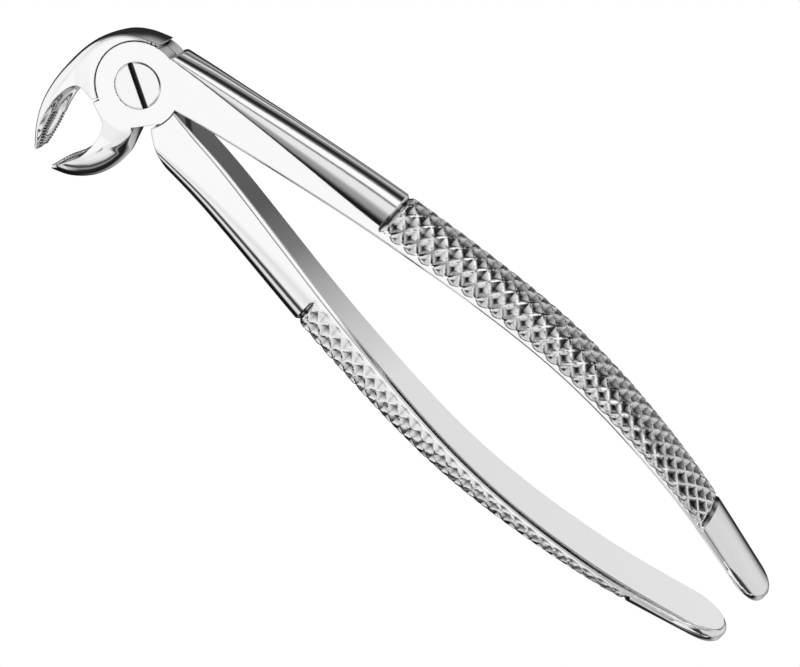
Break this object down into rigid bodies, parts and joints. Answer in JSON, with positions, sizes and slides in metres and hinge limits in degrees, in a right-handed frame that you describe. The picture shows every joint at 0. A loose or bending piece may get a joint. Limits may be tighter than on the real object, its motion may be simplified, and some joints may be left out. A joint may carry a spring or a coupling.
{
  "type": "extraction forceps",
  "caption": "Dental extraction forceps for lower molars: beaks bent at right angles, round lapped joint with a slotted screw, bowed knurled handles.",
  "frame": {"origin": "on the hinge axis, at the flat back face of the joint", "axes": "+X towards the handle ends, midway between the handles; +Y towards the handle of the front half; +Z along the hinge axis towards the screw's slotted head"},
  "size_m": [0.1616, 0.0466, 0.0162],
  "materials": {
    "polished_steel": "mirror polished stainless steel, knurled grip and serrated beaks",
    "screw_steel": "polished stainless steel, turned face"
  },
  "bodies": {
    "back": {"back_half": "polished_steel", "hinge_screw": "screw_steel"},
    "front": {"front_half": "polished_steel"}
  },
  "joints": [
    {"name": "forceps_hinge", "type": "hinge", "parent": "back", "child": "front", "pos_m": [0, 0, 0.0043], "axis": [0, 0, 1], "range_deg": [-1.5, 14]}
  ]
}
